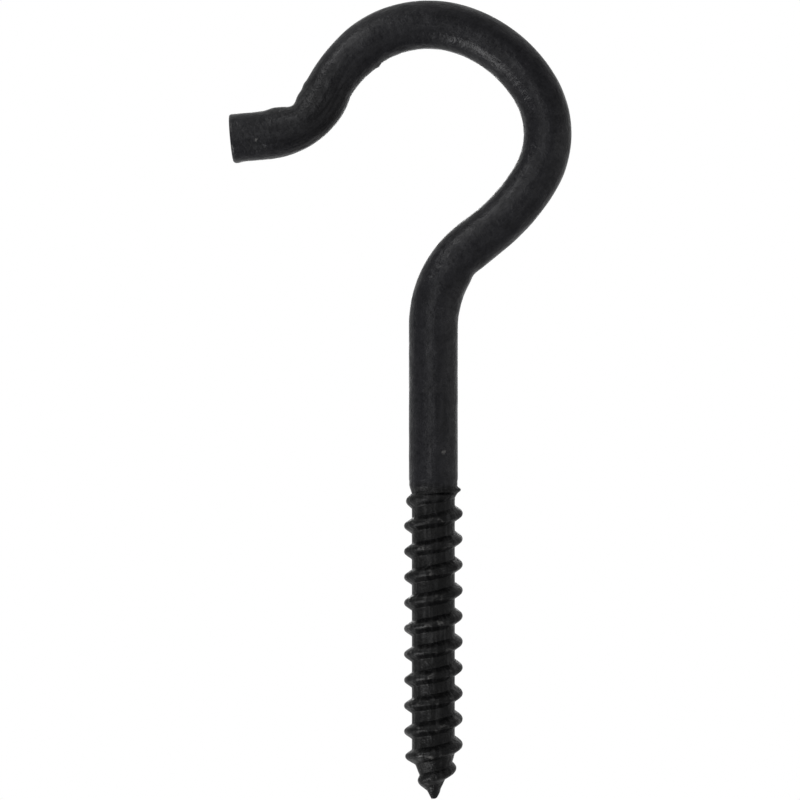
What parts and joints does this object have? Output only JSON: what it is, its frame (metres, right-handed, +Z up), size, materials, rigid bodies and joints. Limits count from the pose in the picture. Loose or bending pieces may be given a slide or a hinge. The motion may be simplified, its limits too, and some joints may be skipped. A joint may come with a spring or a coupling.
{
  "type": "ceiling hook",
  "caption": "Screw-in ceiling hook of satin black wire: pointed wood screw thread, plain shank, offset neck and a deep open bowl with an outward-bent free end.",
  "frame": {"origin": "on the screw axis where the thread meets the plain shank, which is the face of the ceiling when it is screwed home", "axes": "+Z up the screw to its point, the bowl hangs to -Z, the free end points to +X, Y across the flat of the hook"},
  "size_m": [0.045, 0.0078, 0.1048],
  "materials": {
    "black_coating": "satin black coating over steel wire"
  },
  "bodies": {
    "root": {"ceiling_hook": "black_coating"}
  },
  "joints": []
}
